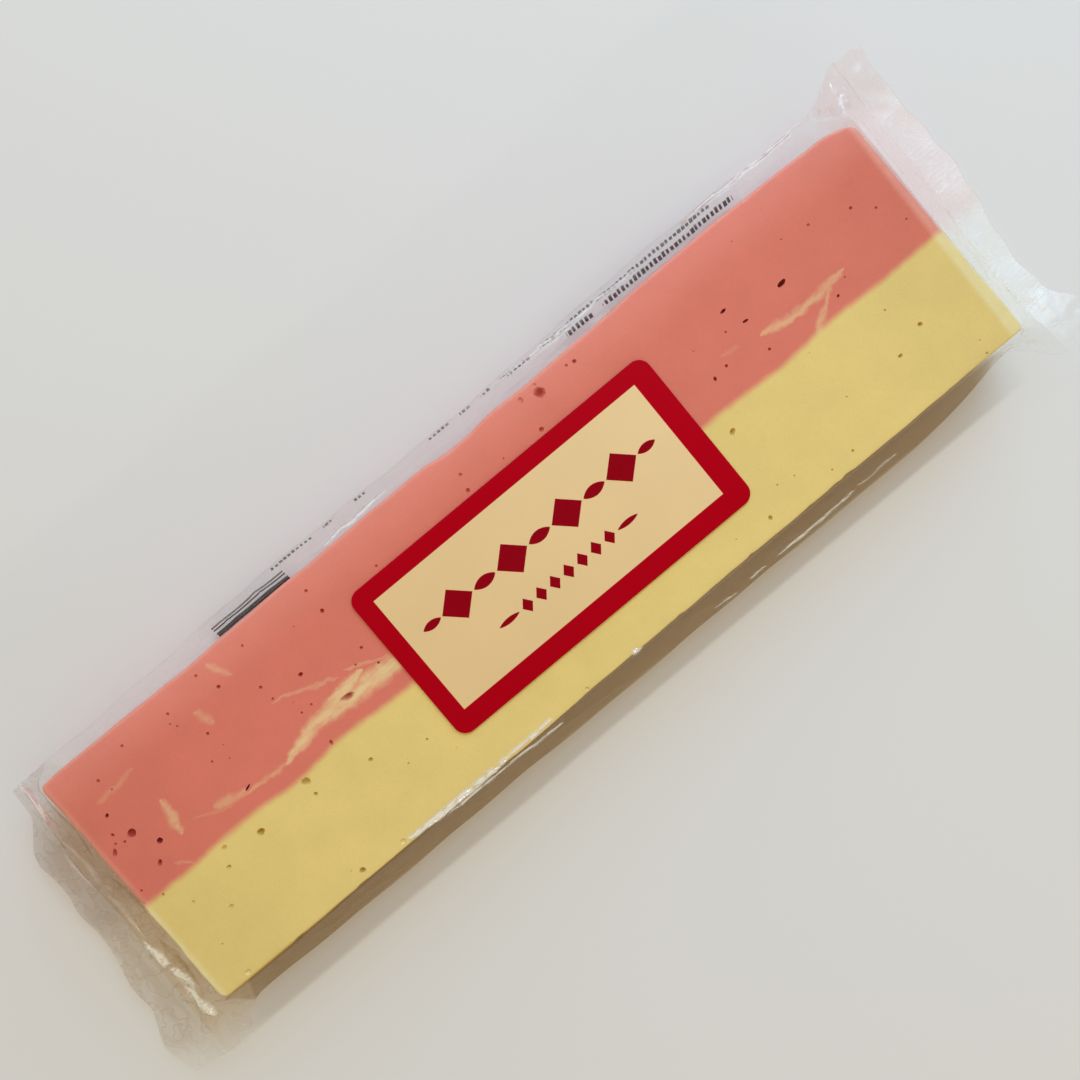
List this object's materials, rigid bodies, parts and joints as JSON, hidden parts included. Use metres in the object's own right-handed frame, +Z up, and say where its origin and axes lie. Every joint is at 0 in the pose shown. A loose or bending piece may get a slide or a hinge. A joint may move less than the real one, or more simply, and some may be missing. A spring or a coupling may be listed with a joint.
{
  "type": "wrapped nougat bar",
  "caption": "Flat bar of pink and yellow nougat in a clear crimped flow-wrap film, with a framed paper label on top and a printed clear sticker turned up from the back.",
  "frame": {"origin": "centre of the pack's box, on the plane that the pack lies on", "axes": "+X along the bar, +Y towards its pink side, +Z up out of the labelled face"},
  "size_m": [0.2104, 0.0654, 0.0164],
  "materials": {
    "clear_film": "clear glossy flow-wrap film, very thin",
    "label_paper": "satin coated label paper, crimson border round a cream field",
    "printed_sticker": "clear sticker with black print",
    "nougat_pink": "dense matt pink nougat with small air bubbles",
    "nougat_yellow": "dense matt yellow nougat with small air bubbles"
  },
  "bodies": {
    "root": {"film_pack": "clear_film", "front_label": "label_paper", "back_label": "printed_sticker"}
  },
  "joints": []
}
